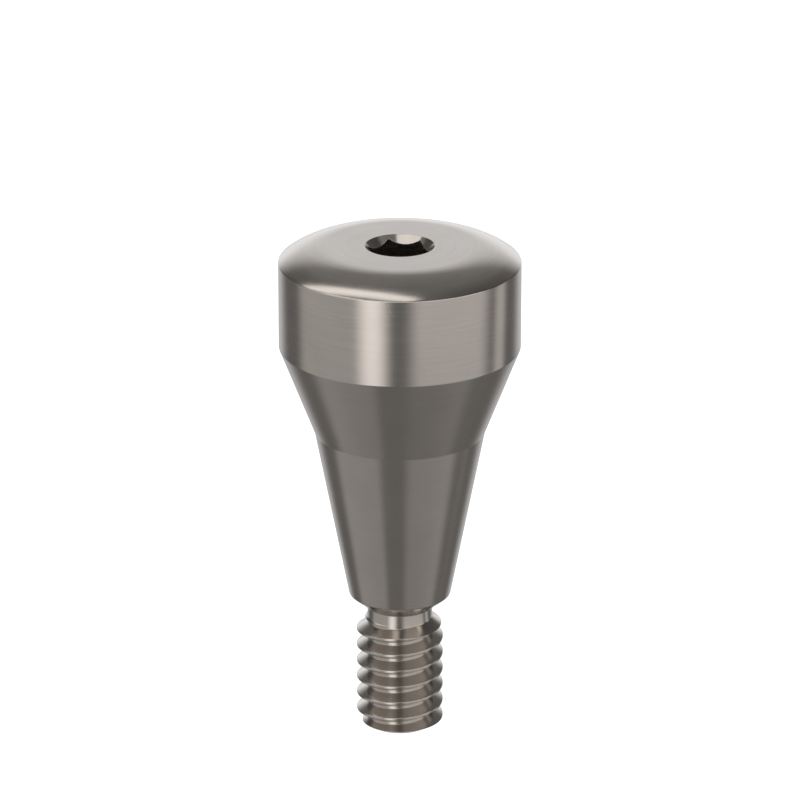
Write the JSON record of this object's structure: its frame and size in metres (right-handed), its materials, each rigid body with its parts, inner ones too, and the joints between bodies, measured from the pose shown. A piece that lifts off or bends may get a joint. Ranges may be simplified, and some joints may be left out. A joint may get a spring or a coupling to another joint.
{
  "type": "healing abutment",
  "caption": "One-piece titanium healing abutment: banded round head with hex driver socket, flared collar, steep implant taper and fine screw thread.",
  "frame": {"origin": "on the axis at the implant's platform, where the flare ends and the taper that seats in the implant begins", "axes": "+Z along the axis from the implant towards the head; +X to the right of the picture, +Y away from the camera"},
  "size_m": [0.0054, 0.0054, 0.0117],
  "materials": {
    "titanium": "fine turned titanium, satin"
  },
  "bodies": {
    "root": {"healing_abutment": "titanium"}
  },
  "joints": []
}
